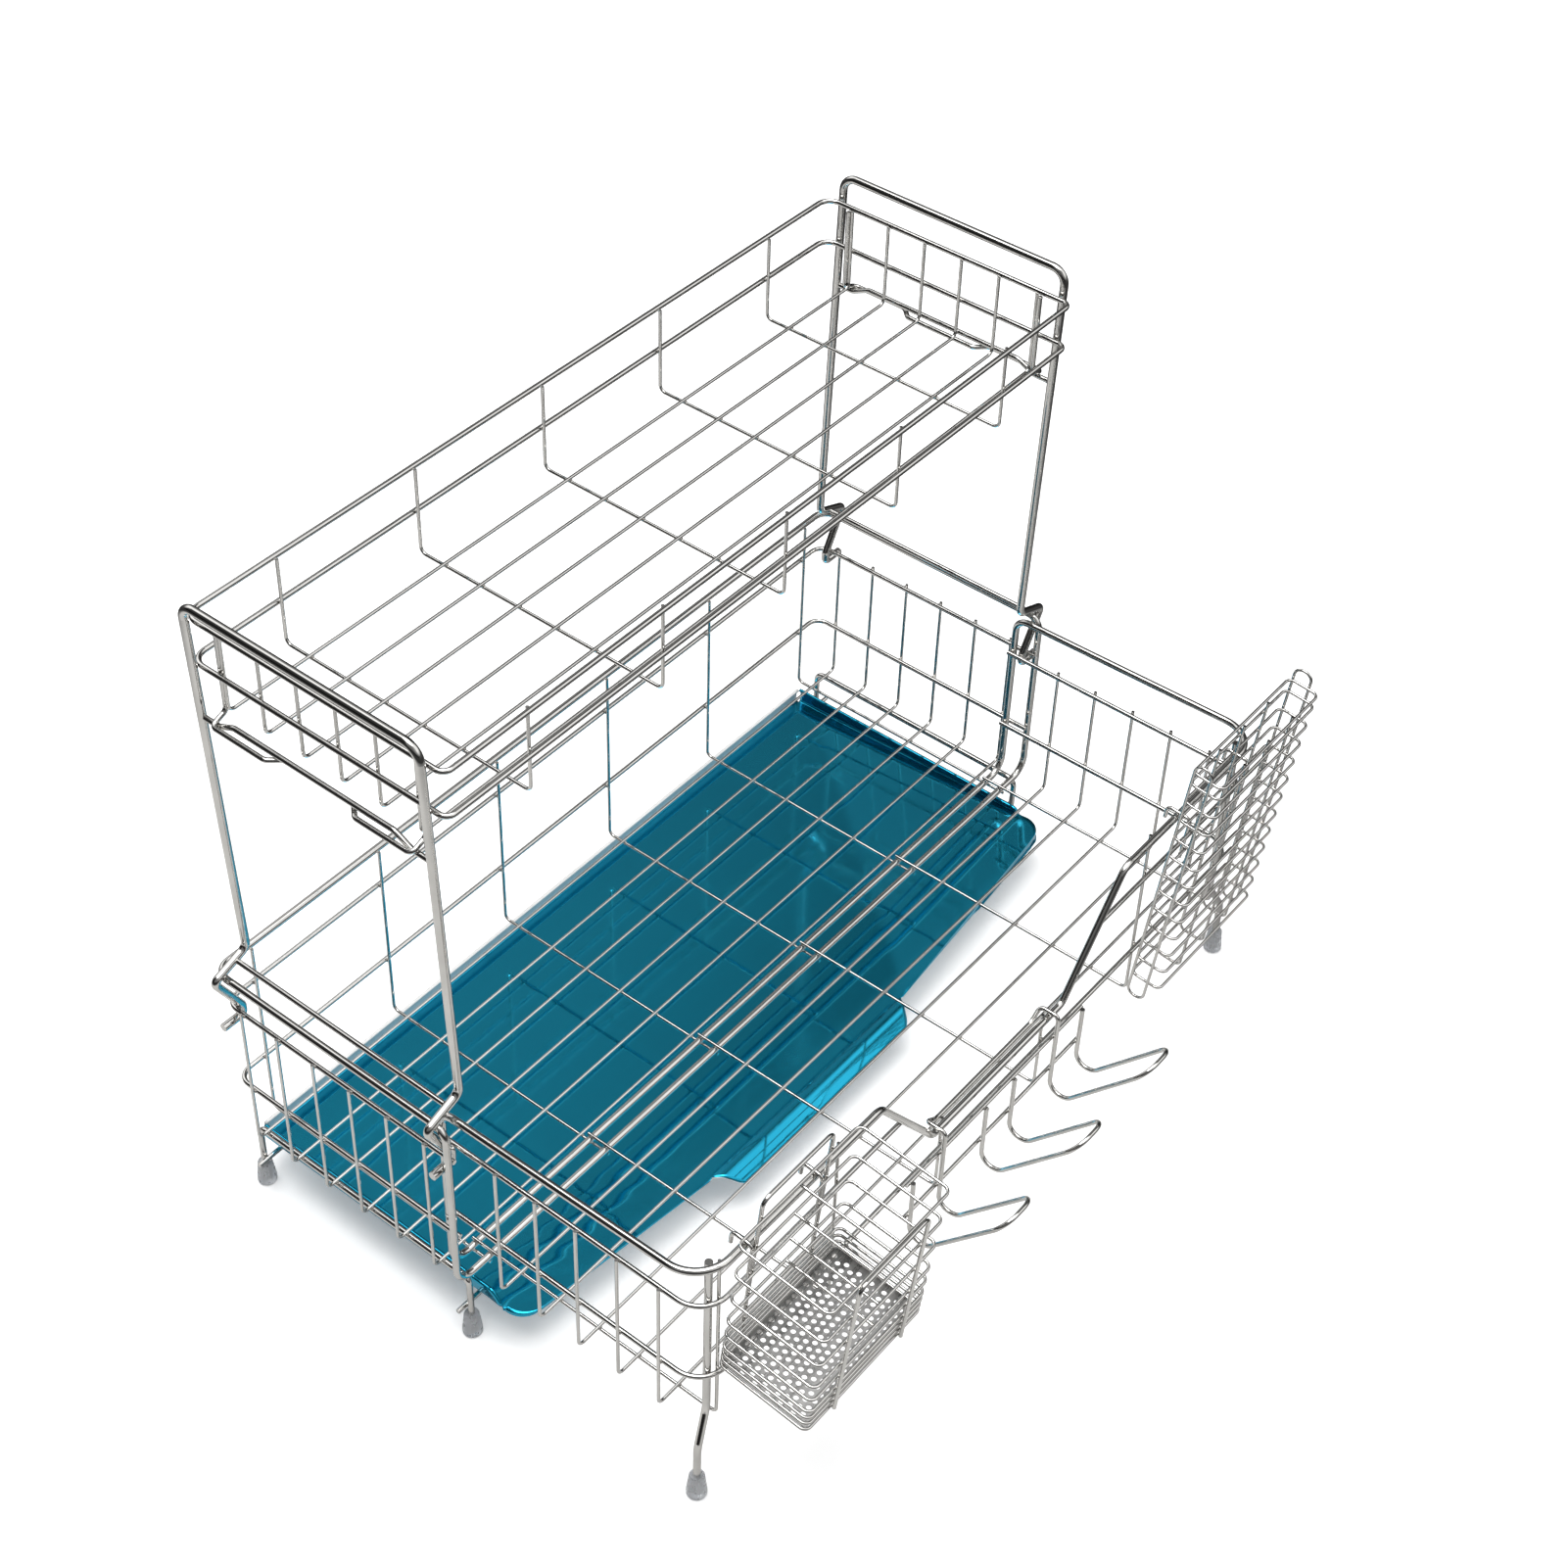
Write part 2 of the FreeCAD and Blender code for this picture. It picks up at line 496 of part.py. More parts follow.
# ================================================================ cup hooks
def cup_hooks():
    """Three hairpin hooks on two bars; the outer two are one wire that hangs over the low rim."""
    plane, d = CUP_HOOK_Y, CUP_HOOK_D
    (heel_y, heel_z), (tip_y, tip_z) = CUP_HOOK_HEEL, CUP_HOOK_TIP

    def hairpin(x):
        side = [(plane, heel_z + 6), (heel_y, heel_z), (tip_y, tip_z)]
        a, b = x - CUP_HOOK_WIDTH / 2, x + CUP_HOOK_WIDTH / 2
        return [(a, y, z) for y, z in side] + [(b, y, z) for y, z in reversed(side)]

    turns = [9, 9, 11, 11, 9, 9]
    first, middle, last = [hairpin(CUP_HOOK_X + x) for x in spread(3, CUP_HOOK_PITCH)]
    over = DIP_Z + (FRAME_D + d) / 2 + CUP_HOOK_PLAY
    inside = FRONT_UPRIGHT_Y + (THIN_D + d) / 2 + GAP
    left, right = first[-1][0], last[0][0]
    saddle = [(left, plane, over), (left, inside, over), (left + 9, inside, over - 6),
              (right - 9, inside, over - 6), (right, inside, over), (right, plane, over)]
    outer = [(first[0][0], plane, CUP_HOOK_TOP_Z)] + first + saddle + last
    outer += [(last[-1][0], plane, CUP_HOOK_TOP_Z)]
    inner = [(middle[0][0], plane, CUP_HOOK_TOP_Z)] + middle + [(middle[-1][0], plane, CUP_HOOK_TOP_Z)]
    save("cup_hooks", [bent_wire(outer, d, turns + [3.4, 3, 6, 6, 3, 3.4] + turns),
                       bent_wire(inner, d, turns)])
    bar_y = plane + (d + LOOP_D) / 2
    save("cup_hook_bars", [rod((first[0][0] - 3, bar_y, z), (last[-1][0] + 3, bar_y, z), LOOP_D)
                           for z in CUP_HOOK_BARS])


# ================================================================ board holder
def board_holder():
    w, d, height = BOARD_WIDTH, BOARD_DEPTH, BOARD_HEIGHT

    def place(name, solids):
        moved = hang(solids, BOARD_Y, BOARD_TOP_Z, BOARD_TILT)
        for solid in moved:
            solid.translate(V(BOARD_X, 0, 0))
        save(name, moved)

    step = (height - BOARD_FIRST_GAP) / (BOARD_RINGS - 2)
    levels = [0] + [BOARD_FIRST_GAP + i * step for i in range(BOARD_RINGS - 1)]
    place("board_rings", [ring(w, d, -z, RING_D, 4) for z in levels])
    loops = []
    for s in SIDES:
        x = s * (w / 2 + RING_D)
        loops.append(bent_wire([(x, -1.5, 9), (x, -1.5, -height - 15), (x, -12.5, -height - 15),
                                (x, -12.5, 9)], RING_D, 5.2, closed=True))
    place("board_end_loops", loops)
    ribs = []
    for x in spread(3, 26.0):
        ribs.append(bent_wire([(x, -RING_D, 0), (x, -RING_D, -height - RING_D),
                               (x, -d + RING_D, -height - RING_D), (x, -d + RING_D, 0)], RING_D, 4))
    place("board_ribs", ribs)
    rim_y, rim_z = in_tilted_frame(FRONT_RIM_Y - BOARD_Y, FRONT_RIM_Z - BOARD_TOP_Z, BOARD_TILT)
    outside = (RING_D + LOOP_D) / 2
    over = rim_z + (FRAME_D + LOOP_D) / 2 + GAP
    past = rim_y + 7.0
    hooks = []
    for x in BOARD_HOOKS:
        hooks.append(bent_wire([(x, outside, over - 32), (x, outside, over), (x, past, over),
                                (x, past, over - 9)], LOOP_D, 3.5))
    place("board_hooks", hooks)


rear_basket()
feet()
front_basket()
end_hoops()
top_basket()
drip_tray()
cutlery_basket()
cup_hooks()
board_holder()
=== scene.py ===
"""Looks of the two-tier dish drying rack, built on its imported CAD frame.

Frame: metres, +X to the rack's right-hand end, +Y to the back, +Z up, origin on the table.
"""
import math

import bmesh
import bpy
from mathutils import Matrix, Vector, noise


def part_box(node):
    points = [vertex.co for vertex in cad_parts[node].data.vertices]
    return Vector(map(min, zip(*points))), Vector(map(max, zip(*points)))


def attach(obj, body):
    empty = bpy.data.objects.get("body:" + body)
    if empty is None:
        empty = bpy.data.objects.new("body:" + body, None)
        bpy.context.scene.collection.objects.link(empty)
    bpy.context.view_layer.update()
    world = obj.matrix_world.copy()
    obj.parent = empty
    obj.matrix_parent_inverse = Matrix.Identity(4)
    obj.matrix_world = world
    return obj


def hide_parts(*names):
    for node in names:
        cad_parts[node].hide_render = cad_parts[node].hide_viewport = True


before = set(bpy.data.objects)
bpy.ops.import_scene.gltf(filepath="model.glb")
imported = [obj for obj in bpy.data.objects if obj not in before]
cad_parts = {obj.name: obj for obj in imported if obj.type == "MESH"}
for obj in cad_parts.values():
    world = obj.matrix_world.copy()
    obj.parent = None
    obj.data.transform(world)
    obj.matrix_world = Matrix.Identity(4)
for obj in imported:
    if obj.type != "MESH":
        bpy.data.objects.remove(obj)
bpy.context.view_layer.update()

MM = 0.001

# the rack's wires
CROSS_PITCH = 97.7 * MM         # spacing of the cross wires along the rack
PLATE_WIRE_RADIUS = 1.0 * MM
TIERS = {"rear": (6, 6), "front": (5, 6), "top": (6, 5)}    # plate wires, cross wires

# half sizes of the weld beads
GRID_WELD = (1.5 * MM, 1.5 * MM, 0.9 * MM)
END_WELD = (0.9 * MM, 1.7 * MM, 1.5 * MM)
SIDE_WELD = (1.7 * MM, 0.9 * MM, 1.5 * MM)

# the drip tray's sheet
SHEET = 0.8 * MM
RIM_HEIGHT = 10.2 * MM          # top of the rim over the flat floor
CORNER_RADIUS, FOLD_RADIUS = 14.0 * MM, 1.8 * MM
LIP_MIDDLE, LIP_HALF = -17.0 * MM, 93.0 * MM
LIP_SLANT = 12.0 * MM           # how far each end of the lip runs inwards
LIP_INSET = 2 * MM              # from the lip's end to where the slanted front edge starts
LIP_CORNER = 4.5 * MM
LIP_SWELL, LIP_DROP = 0.9 * MM, 6.6 * MM
SWELL_SHARE = 0.30              # share of the lip's depth that still rises
FIELD_TILT = {-1: 0.022, 1: 0.060}      # slope of the left and right side fields
FRONT_TILT = 0.07

# the studio's walls, as azimuth in degrees from +X and brightness: the wires mirror them in bands
WALLS = [(-180, 0.14), (-150, 0.10), (-110, 0.25), (-80, 0.75), (-30, 0.75), (-12, 0.15),
         (10, 0.02), (30, 0.04), (36, 0.115), (46, 0.19), (54, 0.19), (66, 0.85), (100, 0.85),
         (118, 0.03), (160, 0.02), (180, 0.18)]
CEILING = 1.5                   # brightness of the ceiling panel
PAINTED_POOL_CENTRE = (-0.22, 0.12, 0)     # middle of the pool of light painted into the floor's colour, which only reflections see


# ---------------------------------------------------------------- node helpers
def add(tree, kind, **settings):
    """A node of that kind, with its input values and properties."""
    node = tree.nodes.new("ShaderNode" + kind)
    for key, value in settings.items():
        if key in node.inputs:
            node.inputs[key].default_value = value
        else:
            setattr(node, key, value)
    return node


def new_tree(name):
    """An empty material with its output and one Principled shader."""
    material = bpy.data.materials.new(name)
    material.use_nodes = True
    tree = material.node_tree
    tree.nodes.clear()
    shader = add(tree, "BsdfPrincipled")
    output = add(tree, "OutputMaterial")
    tree.links.new(shader.outputs["BSDF"], output.inputs["Surface"])
    return material, tree, shader


def noise_at(tree, scale, detail=3.0, stretch=(1, 1, 1)):
    """3-D noise in object space."""
    place = add(tree, "TexCoord")
    mapping = add(tree, "Mapping", Scale=stretch)
    tree.links.new(place.outputs["Object"], mapping.inputs["Vector"])
    node = add(tree, "TexNoise", Scale=scale, Detail=detail)
    tree.links.new(mapping.outputs["Vector"], node.inputs["Vector"])
    return node.outputs["Fac"]


def ramp(tree, source, stops):
    """Colours along a value: (position, (r, g, b)) in rising order."""
    node = add(tree, "ValToRGB")
    first, last = node.color_ramp.elements[0], node.color_ramp.elements[1]
    first.position, first.color = stops[0][0], (*stops[0][1], 1)
    last.position, last.color = stops[-1][0], (*stops[-1][1], 1)
    for position, colour in stops[1:-1]:
        node.color_ramp.elements.new(position).color = (*colour, 1)
    tree.links.new(source, node.inputs["Fac"])
    return node.outputs["Color"]


def remap(tree, source, low, high, start=0.3, end=0.7):
    """A value from low to high while the source goes from start to end."""
    node = add(tree, "MapRange")
    node.inputs["From Min"].default_value = start
    node.inputs["From Max"].default_value = end
    node.inputs["To Min"].default_value = low
    node.inputs["To Max"].default_value = high
    tree.links.new(source, node.inputs["Value"])
    return node.outputs["Result"]


def bump(tree, height, strength, distance, below=None):
    node = add(tree, "Bump", Strength=strength, Distance=distance)
    tree.links.new(height, node.inputs["Height"])
    if below is not None:
        tree.links.new(below, node.inputs["Normal"])
    return node.outputs["Normal"]


def dress(tree, shader, tone, roughness, normal):
    """The three varying qualities of a surface, onto its shader."""
    for source, socket in ((tone, "Base Color"), (roughness, "Roughness"), (normal, "Normal")):
        tree.links.new(source, shader.inputs[socket])


# ---------------------------------------------------------------- materials
def polished_wire():
    """Electro-polished stainless wire with faint drawing marks and slightly uneven gloss."""
    material, tree, shader = new_tree("polished_wire")
    shader.inputs["Metallic"].default_value = 1.0
    tone = ramp(tree, noise_at(tree, 45, 4), [(0.3, (0.59, 0.58, 0.56)), (0.7, (0.68, 0.67, 0.65))])
    marks = bump(tree, noise_at(tree, 900, 2), 0.04, 0.0002)
    waves = bump(tree, noise_at(tree, 90, 2), 0.06, 0.0004, marks)
    dress(tree, shader, tone, remap(tree, noise_at(tree, 220, 3), 0.03, 0.09), waves)
    return material


def weld_metal():
    """Spot-weld fillet: duller, a little darker and rougher than the wire."""
    material, tree, shader = new_tree("weld_metal")
    shader.inputs["Metallic"].default_value = 1.0
    tone = ramp(tree, noise_at(tree, 700, 4),
                [(0.3, (0.34, 0.32, 0.30)), (0.7, (0.62, 0.60, 0.57))])
    dress(tree, shader, tone, remap(tree, noise_at(tree, 500, 3), 0.18, 0.34),
          bump(tree, noise_at(tree, 1400, 3), 0.3, 0.0002))
    return material


def punched_plate():
    """Punched stainless sheet, brushed along the basket's length."""
    material, tree, shader = new_tree("punched_plate")
    shader.inputs["Metallic"].default_value = 1.0
    brushed = noise_at(tree, 420, 4, stretch=(0.04, 1.0, 1.0))
    tone = ramp(tree, brushed, [(0.3, (0.24, 0.238, 0.235)), (0.7, (0.36, 0.357, 0.35))])
    dress(tree, shader, tone, remap(tree, brushed, 0.22, 0.36), bump(tree, brushed, 0.12, 0.0002))
    return material


def tray_film():
    """Blue protective film on mirror-bright sheet, with faint creases and slow waves."""
    material, tree, shader = new_tree("tray_film")
    shader.inputs["Metallic"].default_value = 0.92
    shader.inputs["Coat Weight"].default_value = 0.35
    shader.inputs["Coat Roughness"].default_value = 0.06
    tone = ramp(tree, noise_at(tree, 9, 3),
                [(0.3, (0.003, 0.34, 0.53)), (0.7, (0.004, 0.37, 0.57))])
    slow = bump(tree, noise_at(tree, 7, 1), 0.015, 0.003)
    cells = add(tree, "TexVoronoi", feature="DISTANCE_TO_EDGE", Scale=9.0)
    place = add(tree, "TexCoord")
    warp = add(tree, "Mapping", Rotation=(0, 0, 0.9), Scale=(1.0, 0.45, 1.0))
    tree.links.new(place.outputs["Object"], warp.inputs["Vector"])
    tree.links.new(warp.outputs["Vector"], cells.inputs["Vector"])
    crease = remap(tree, cells.outputs["Distance"], 1.0, 0.0, 0.0, 0.02)
    dress(tree, shader, tone, remap(tree, noise_at(tree, 160, 4), 0.05, 0.11),
          bump(tree, crease, 0.03, 0.0005, slow))
    return material


def bare_sheet():
    """The tray's own satin sheet, where no film covers it: its cut edges and its rear flange."""
    material, tree, shader = new_tree("bare_sheet")
    shader.inputs["Metallic"].default_value = 0.1
    grain = noise_at(tree, 300, 4, stretch=(0.05, 1.0, 1.0))
    tone = ramp(tree, grain, [(0.3, (0.74, 0.74, 0.73)), (0.7, (0.84, 0.84, 0.83))])
    dress(tree, shader, tone, remap(tree, grain, 0.30, 0.45), bump(tree, grain, 0.06, 0.0003))
    return material


def clear_rubber():
    """Cloudy translucent vinyl of the foot caps."""
    material, tree, shader = new_tree("clear_rubber")
    shader.inputs["Transmission Weight"].default_value = 0.65
    shader.inputs["IOR"].default_value = 1.48
    tone = ramp(tree, noise_at(tree, 130, 3),
                [(0.3, (0.70, 0.72, 0.75)), (0.7, (0.80, 0.82, 0.85))])
    dress(tree, shader, tone, remap(tree, noise_at(tree, 260, 3), 0.22, 0.38),
          bump(tree, noise_at(tree, 420, 2), 0.06, 0.0002))
    return material


# ---------------------------------------------------------------- meshes
def finish_mesh(name, bm, body, materials):
    """A smooth-shaded piece from a bmesh, riding on a body."""
    mesh = bpy.data.meshes.new(name)
    bm.to_mesh(mesh)
    bm.free()
    for polygon in mesh.polygons:
        polygon.use_smooth = True
    for material in materials:
        mesh.materials.append(material)
    piece = bpy.data.objects.new(name, mesh)
    bpy.context.scene.collection.objects.link(piece)
    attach(piece, body)
    return piece


def soft_step(d, width):
    """0 below, d above, with a rounded knee of that width."""
    if d <= -width:
        return 0.0
    if d >= width:
        return d
    return (d + width) ** 2 / (4 * width)


def band(bm, first, second, slot=0):
    """One row of faces between two rows of vertices."""
    for a, b, c, d in zip(first, second, second[1:], first[1:]):
        bm.faces.new((a, b, c, d)).material_index = slot


def tray_mesh():
    """The tray as one bent sheet: rounded folds, hemmed rims, pressed diagonals, a rolled lip."""
    low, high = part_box("drip_tray")
    half = (high.x - low.x) / 2
    back, lip_end, top = high.y, low.y, high.z
    bed = top - RIM_HEIGHT
    flange = top - bed
    # along Y: the lip starts at the crease, the side edges turn in at the slant,
    # and the side rims rise from nothing just behind the shoulder
    crease = lip_end + 15.0 * MM
    slant = lip_end + 31.0 * MM
    shoulder = lip_end + 44.0 * MM
    columns, lip_columns = 168, 60
    rows_back, rows_front, rows_lip = 92, 34, 22

    def edge_at(y, side):
        """Where the floor ends at depth y, with the rounded corner."""
        lip_x = LIP_MIDDLE + side * LIP_HALF
        full = side * half
        run = Vector((lip_x - full, crease - slant)).normalized()
        inner = math.acos(max(-1.0, min(1.0, run.dot(Vector((0, 1))))))
        reach = CORNER_RADIUS / math.tan(inner / 2)
        if y >= slant + reach:
            return full
        centre = Vector((full - side * CORNER_RADIUS, slant + reach))
        foot = Vector((full, slant)) + run * reach
        if y > foot.y:
            return centre.x + side * math.sqrt(max(0.0, CORNER_RADIUS ** 2 - (y - centre.y) ** 2))
        return full + run.x * (slant - y) / -run.y

    diagonals = [(Vector((LIP_MIDDLE + s * LIP_HALF + s * 3 * MM, crease)),
                  Vector((s * half, back - 13 * MM)), s) for s in (-1, 1)]

    def height(x, y):
        """Height over the flat floor: side fields tip up a little, the front swells to the lip,
        and the front left corner has small puckers."""
        z = 0.0
        for a, b, s in diagonals:
            run = (b - a).normalized()
            away = s * ((x - a.x) * run.y - (y - a.y) * run.x)
            z += FIELD_TILT[s] * soft_step(away, 1.5 * MM)
        z += FRONT_TILT * soft_step(crease + 13 * MM - y, 4 * MM)
        z += 0.00012 * noise.noise(Vector((x * 7, y * 7, 3.1)))
        fade = min(1.0, max(0.0, (y - crease) / (12 * MM)))
        across, along = (x + half - 40 * MM) / (70 * MM), (y - 10 * MM) / (45 * MM)
        corner = math.exp(-(across ** 2 + along ** 2))
        z += fade * corner * 0.00009 * math.sin((x * 0.75 + y) * 330 + 2.5 * noise.noise(
            Vector((x * 18, y * 18, 0))))
        return z

    # the rim's section: a rounded fold, a straight wall and a hem turned inwards, as (inwards, up)
    quarter = [math.pi / 2 * i / 5 for i in range(1, 6)]
    wall = [(FOLD_RADIUS * (1 - math.sin(a)), FOLD_RADIUS * (1 - math.cos(a))) for a in quarter]
    wall += [(0.0, FOLD_RADIUS + (flange - FOLD_RADIUS - 0.9 * MM) * i / 4) for i in range(1, 5)]
    wall += [(0.15 * MM, flange - 0.35 * MM), (0.5 * MM, flange), (0.95 * MM, flange - 0.30 * MM),
             (1.1 * MM, flange - 0.9 * MM)]

    # floor and side rims, row by row from the back to the crease
    bm = bmesh.new()
    turn = shoulder + 12 * MM           # in front of this the rows are closer together
    rear = back - FOLD_RADIUS
    ys = [rear - (rear - shoulder - 12 * MM) * i / rows_back for i in range(rows_back)]
    ys += [turn - (turn - crease) * i / rows_front for i in range(rows_front + 1)]
    grid = []
    for y in ys:
        rise = min(1.0, max(0.0, (y - shoulder) / (11 * MM)))
        rise = rise * rise * (3 - 2 * rise)
        left, right = edge_at(y, -1), edge_at(y, 1)
        inner = FOLD_RADIUS * rise
        row = []
        for dx, dz in reversed(wall):
            x = left + dx * rise
            row.append((x, y, bed + height(left, y) * (1 - dz / flange) + dz * rise))
        for i in range(columns + 1):
            x = left + inner + (right - left - 2 * inner) * i / columns
            row.append((x, y, bed + height(x, y)))
        for dx, dz in wall:
            x = right - dx * rise
            row.append((x, y, bed + height(right, y) * (1 - dz / flange) + dz * rise))
        grid.append([bm.verts.new(p) for p in row])
    for upper, lower in zip(grid, grid[1:]):
        band(bm, upper, lower)

    # the lip carries on from the crease between its two ends
    previous = []
    for i in range(lip_columns + 1):
        x = LIP_MIDDLE - LIP_HALF + LIP_INSET + (2 * LIP_HALF - 2 * LIP_INSET) * i / lip_columns
        previous.append(bm.verts.new((x, crease, bed + height(x, crease))))
    for k in range(1, rows_lip + 1):
        t = k / rows_lip
        y = crease - t * (crease - lip_end)
        if t < SWELL_SHARE:
            z = LIP_SWELL * math.sin(t / SWELL_SHARE * math.pi / 2)
        else:
            fall = (t - SWELL_SHARE) / (1 - SWELL_SHARE)
            z = LIP_SWELL - LIP_DROP * (0.25 * fall + 0.75 * fall ** 1.5)
        width = LIP_HALF - LIP_INSET - LIP_SLANT * t
        round_off = max(0.0, (t - 0.72) / 0.28)
        width -= LIP_CORNER * (1 - math.sqrt(max(0.0, 1 - round_off ** 2)))
        row = []
        for i in range(lip_columns + 1):
            x = LIP_MIDDLE + width * (2 * i / lip_columns - 1)
            ripple = 0.00022 * noise.noise(Vector((x * 26, y * 30, 7.7))) * t
            row.append(bm.verts.new((x, y, bed + height(x, crease) + z + ripple)))
        band(bm, previous, row)
        previous = row

    # rear flange: its own fold, open at the two corners, bare above the fold
    strip = []
    for dx, dz in [(FOLD_RADIUS, 0.0)] + wall:
        y = back - dx
        row = []
        for i in range(columns + 1):
            x = -half + FOLD_RADIUS + 2 * (half - FOLD_RADIUS) * i / columns
            row.append(bm.verts.new((x, y, bed + height(x, back) * (1 - dz / flange) + dz)))
        strip.append(row)
    for k, (lower, upper) in enumerate(zip(strip, strip[1:])):
        band(bm, upper, lower, int(k > 2))
    bmesh.ops.remove_doubles(bm, verts=bm.verts, dist=2e-5)
    bmesh.ops.recalc_face_normals(bm, faces=bm.faces)
    if sum(f.normal.z * f.calc_area() for f in bm.faces) < 0:
        bmesh.ops.reverse_faces(bm, faces=bm.faces)
    return bm


def weld_beads(spots):
    """Small uneven fillets where wires are spot-welded to each other: (place, (sx, sy, sz))."""
    bm = bmesh.new()
    for k, (place, size) in enumerate(spots):
        made = bmesh.ops.create_icosphere(bm, subdivisions=2, radius=1.0)["verts"]
        for vert in made:
            swell = 1 + 0.22 * noise.noise(vert.co * 1.7 + Vector((k * 3.7, k * 1.3, 0)))
            vert.co = place + Vector(v * s * swell for v, s in zip(vert.co, size))
    return bm


def plate_places(tier):
    """Where a basket's plate wires stand along Y: evenly from end to end of their box."""
    low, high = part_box(tier + "_plate_wires")
    first, last = low.y + PLATE_WIRE_RADIUS, high.y - PLATE_WIRE_RADIUS
    count = TIERS[tier][0]
    return [first + (last - first) * i / (count - 1) for i in range(count)]


def cross_places(tier):
    """Where a basket's cross wires stand along X: evenly about the middle, the last at its ends."""
    low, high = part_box(tier + "_cross_wires")
    count = TIERS[tier][1]
    inner = [(i - (count - 1) / 2) * CROSS_PITCH for i in range(1, count - 1)]
    return [low.x + MM] + inner + [high.x - MM]


def crossings(tier):
    """Welds where the plate wires lie on the cross wires."""
    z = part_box(tier + "_plate_wires")[0].z
    return [(Vector((x, y, z)), GRID_WELD) for x in cross_places(tier) for y in plate_places(tier)]


def rail_welds(rail, tier):
    """Welds where one rail meets the end uprights and the uprights of the basket's long side."""
    r_low, r_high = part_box(rail)
    p_low, p_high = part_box(tier + "_plate_wires")
    c_low, c_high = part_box(tier + "_cross_wires")
    z = (r_low.z + r_high.z) / 2
    ends = (p_low.x + 1.9 * MM, p_high.x - 1.9 * MM)
    side = c_high.y - 0.2 * MM if tier == "rear" else c_low.y + 0.2 * MM
    return ([(Vector((x, y, z)), END_WELD) for y in plate_places(tier) for x in ends]
            + [(Vector((x, side, z)), SIDE_WELD) for x in cross_places(tier)])


# ---------------------------------------------------------------- build
WIRE, WELD = polished_wire(), weld_metal()
PLATE, FILM, BARE, RUBBER = punched_plate(), tray_film(), bare_sheet(), clear_rubber()
for name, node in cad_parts.items():
    look = RUBBER if name.endswith("foot_caps") else WIRE
    if name == "cutlery_base_plate":
        look = PLATE
    node.data.materials.clear()
    node.data.materials.append(look)
    for polygon in node.data.polygons:
        polygon.material_index = 0

tray = finish_mesh("tray_sheet", tray_mesh(), "drip_tray", [FILM, BARE])
shell = tray.modifiers.new("sheet", "SOLIDIFY")
shell.thickness = SHEET
shell.offset = -1.0
shell.material_offset_rim = 1
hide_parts("drip_tray")

spots = crossings("rear") + crossings("front") + crossings("top")
spots += rail_welds("rear_upper_rail", "rear") + rail_welds("rear_middle_rail", "rear")
spots += rail_welds("front_middle_rail", "front")
finish_mesh("rack_welds", weld_beads(spots), "rack", [WELD])


# ---------------------------------------------------------------- stage
def floor():
    """Plain pale floor, just under the feet; in reflections its colour holds a painted pool of
    light.
    """
    bm = bmesh.new()
    bmesh.ops.create_grid(bm, x_segments=1, y_segments=1, size=9)
    mesh = bpy.data.meshes.new("floor")
    bm.to_mesh(mesh)
    bm.free()
    material, tree, shader = new_tree("pale_floor")
    shader.inputs["Roughness"].default_value = 0.8
    shader.inputs["Specular IOR Level"].default_value = 0.1
    pale = ramp(tree, noise_at(tree, 2, 2), [(0.3, (0.90, 0.90, 0.90)), (0.7, (0.92, 0.92, 0.92))])
    # painted reflection: for glossy rays the floor's colour holds a painted pool of light, a small
    # lit patch with painted darkness beyond it standing in for the unlit room
    place = add(tree, "TexCoord")
    reach = add(tree, "VectorMath", operation="DISTANCE")
    tree.links.new(place.outputs["Object"], reach.inputs[0])
    reach.inputs[1].default_value = PAINTED_POOL_CENTRE
    dark = remap(tree, reach.outputs["Value"], 0.0, 1.0, 0.42, 0.95)
    # painted pool of light: pale near its middle, painted dark further out
    painted_pool_of_light = ramp(tree, dark, [(0.0, (0.60, 0.595, 0.585)), (0.4, (0.22, 0.22, 0.22)),
                              (1.0, (0.03, 0.03, 0.03))])
    rays = add(tree, "LightPath")
    glow = remap(tree, rays.outputs["Is Glossy Ray"], 0.28, 0.0, 0.0, 1.0)
    shader.inputs["Emission Color"].default_value = (1, 1, 1, 1)
    tree.links.new(glow, shader.inputs["Emission Strength"])
    # only glossy rays get the painted pool of light; other rays get the plain pale colour
    mix = add(tree, "Mix", data_type="RGBA")
    tree.links.new(rays.outputs["Is Glossy Ray"], mix.inputs[0])
    tree.links.new(pale, mix.inputs[6])
    tree.links.new(painted_pool_of_light, mix.inputs[7])
    tree.links.new(mix.outputs[2], shader.inputs["Base Color"])
    mesh.materials.append(material)
    plane = bpy.data.objects.new("floor", mesh)
    plane.location.z = -0.2 * MM
    bpy.context.scene.collection.objects.link(plane)


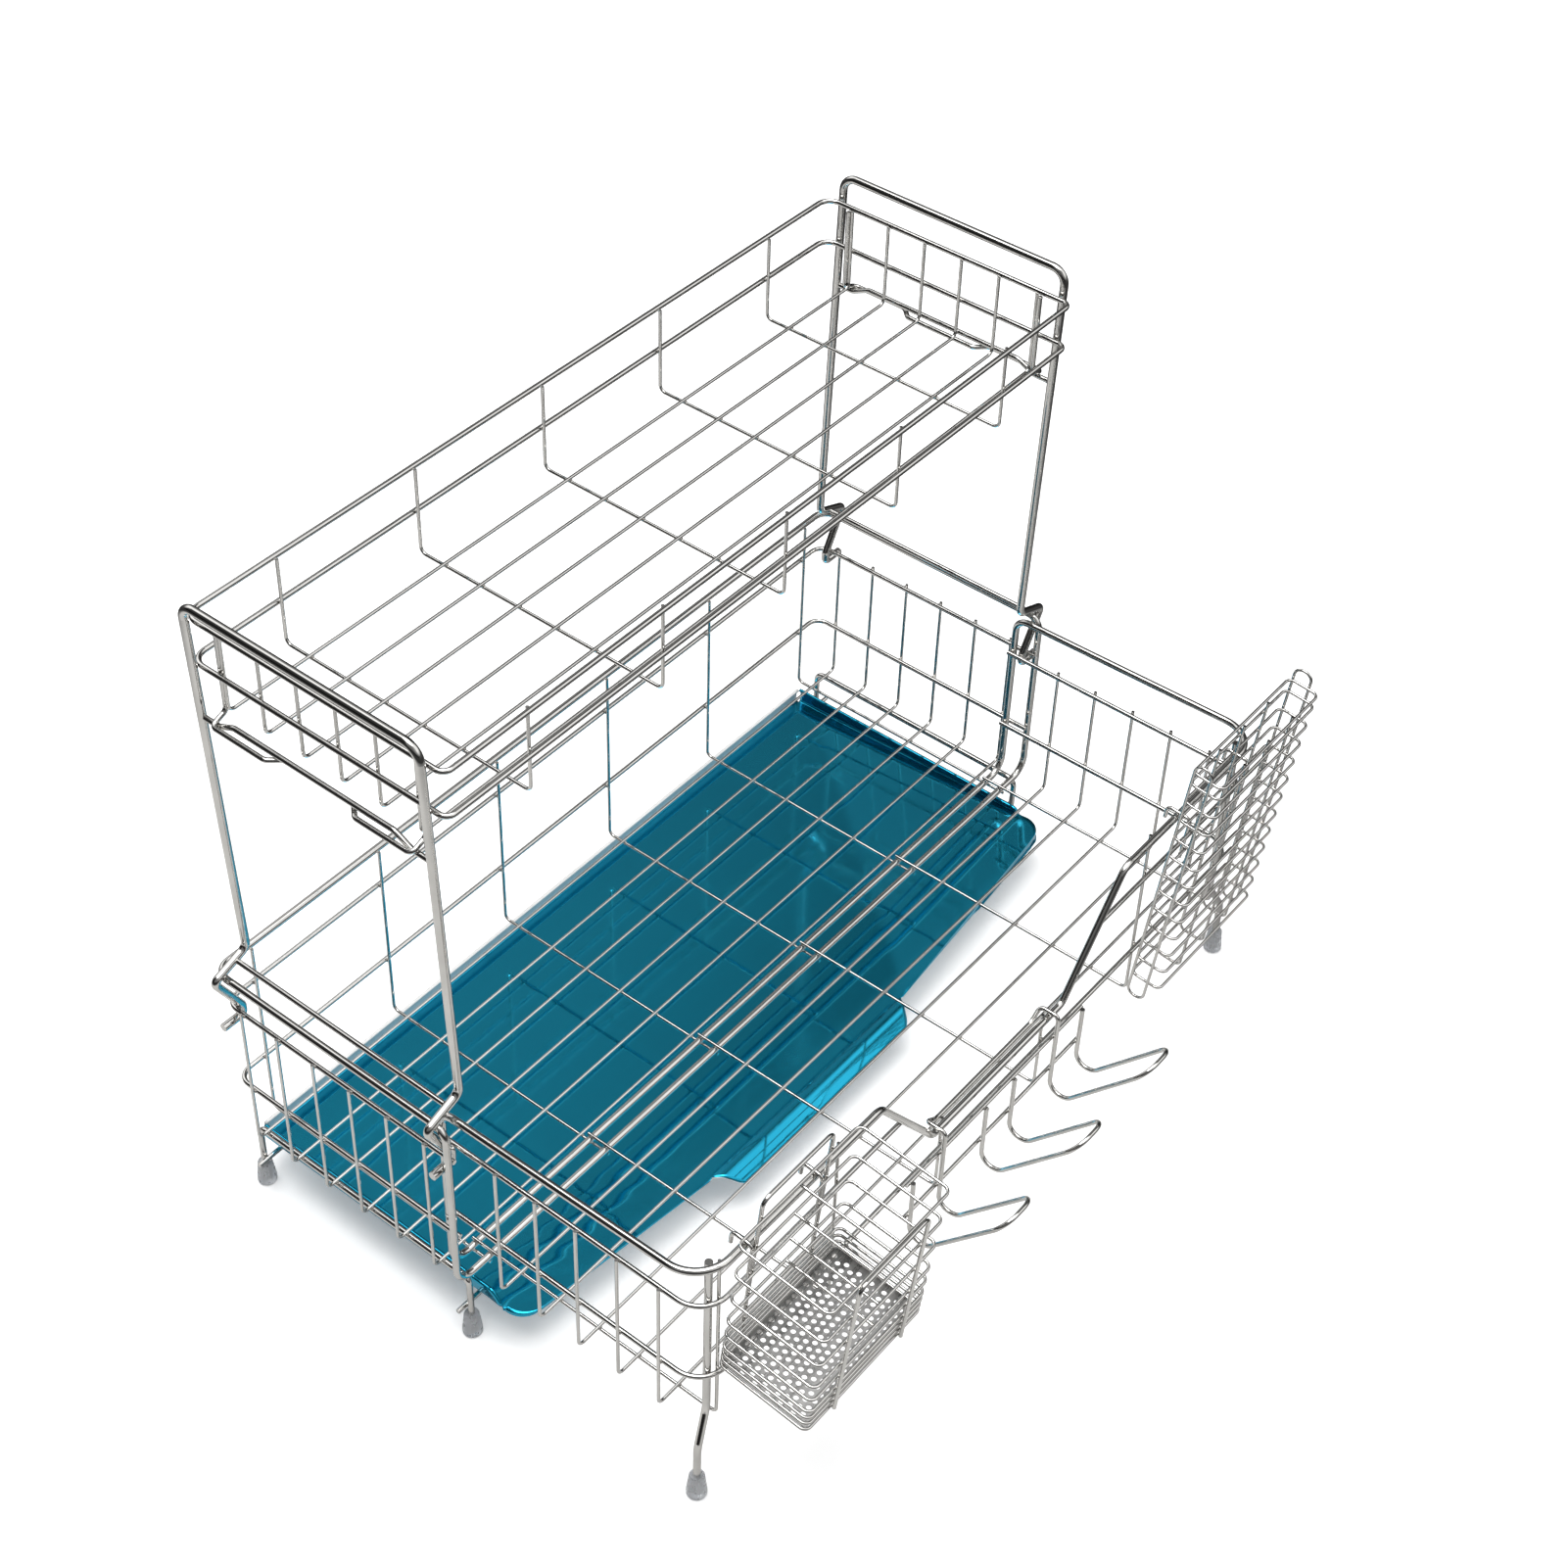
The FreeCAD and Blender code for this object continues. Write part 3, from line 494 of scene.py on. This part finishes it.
def studio():
    """White cove with dark openings for reflections, and a plain pale backdrop for the camera."""
    world = bpy.data.worlds.new("studio")
    bpy.context.scene.world = world
    world.use_nodes = True
    tree = world.node_tree
    tree.nodes.clear()
    place = add(tree, "TexCoord")
    parts = add(tree, "SeparateXYZ")
    tree.links.new(place.outputs["Generated"], parts.inputs["Vector"])
    turn = add(tree, "Math", operation="ARCTAN2")
    tree.links.new(parts.outputs["Y"], turn.inputs[0])
    tree.links.new(parts.outputs["X"], turn.inputs[1])
    share = remap(tree, turn.outputs["Value"], 0.0, 1.0, -math.pi, math.pi)
    around = ramp(tree, share, [((degrees + 180) / 360, (grey,) * 3) for degrees, grey in WALLS])
    # the lit walls fade towards the unlit skirting, and the ceiling is one white panel
    skirting = remap(tree, parts.outputs["Z"], 0.08, 1.0, 0.12, 0.50)
    walls = add(tree, "VectorMath", operation="SCALE")
    tree.links.new(around, walls.inputs[0])
    tree.links.new(skirting, walls.inputs["Scale"])
    high = remap(tree, parts.outputs["Z"], 0.0, 1.0, 0.84, 0.92)
    mix = add(tree, "Mix", data_type="RGBA")
    tree.links.new(high, mix.inputs[0])
    tree.links.new(walls.outputs["Vector"], mix.inputs[6])
    mix.inputs[7].default_value = (CEILING, CEILING, CEILING, 1)
    light = add(tree, "Background", Strength=1.75)
    tree.links.new(mix.outputs[2], light.inputs["Color"])
    plain = add(tree, "Background", Color=(0.93, 0.93, 0.93, 1))
    rays = add(tree, "LightPath")
    chosen = add(tree, "MixShader")
    tree.links.new(rays.outputs["Is Camera Ray"], chosen.inputs[0])
    tree.links.new(light.outputs["Background"], chosen.inputs[1])
    tree.links.new(plain.outputs["Background"], chosen.inputs[2])
    output = add(tree, "OutputWorld")
    tree.links.new(chosen.outputs["Shader"], output.inputs["Surface"])


def softbox(name, position, target, size, power):
    light = bpy.data.lights.new(name, "AREA")
    light.shape = "RECTANGLE"
    light.size, light.size_y = size
    light.energy = power
    lamp = bpy.data.objects.new(name, light)
    lamp.location = position
    aim = Vector(target) - Vector(position)
    lamp.rotation_euler = aim.to_track_quat("-Z", "Y").to_euler()
    bpy.context.scene.collection.objects.link(lamp)


def photo_camera():
    """The photograph's viewpoint; the angles are in radians, and yaw 0 looks along +Y."""
    yaw, pitch, roll = -0.9119092, 0.7236055, 0.0317826
    forward = Vector((math.cos(pitch) * -math.sin(yaw), math.cos(pitch) * math.cos(yaw),
                      -math.sin(pitch)))
    right = Vector((math.cos(yaw), math.sin(yaw), 0))
    up = right.cross(forward)
    x = right * math.cos(roll) + up * math.sin(roll)
    y = up * math.cos(roll) - right * math.sin(roll)
    data = bpy.data.cameras.new("photo_camera")
    data.sensor_width, data.lens = 36.0, 62.45
    data.shift_x, data.shift_y = 0.0139, -0.0637
    data.clip_start, data.clip_end = 0.05, 40
    camera = bpy.data.objects.new("photo_camera", data)
    matrix = Matrix((x, y, -forward)).transposed().to_4x4()
    matrix.translation = Vector((-0.8765, -0.6373, 1.2798))
    camera.matrix_world = matrix
    bpy.context.scene.collection.objects.link(camera)
    bpy.context.scene.camera = camera


floor()
studio()
softbox("overhead", (-0.3, 0.3, 2.6), (0, 0, 0.1), (1.8, 1.4), 30)
photo_camera()
bpy.context.scene.view_settings.view_transform = "Standard"
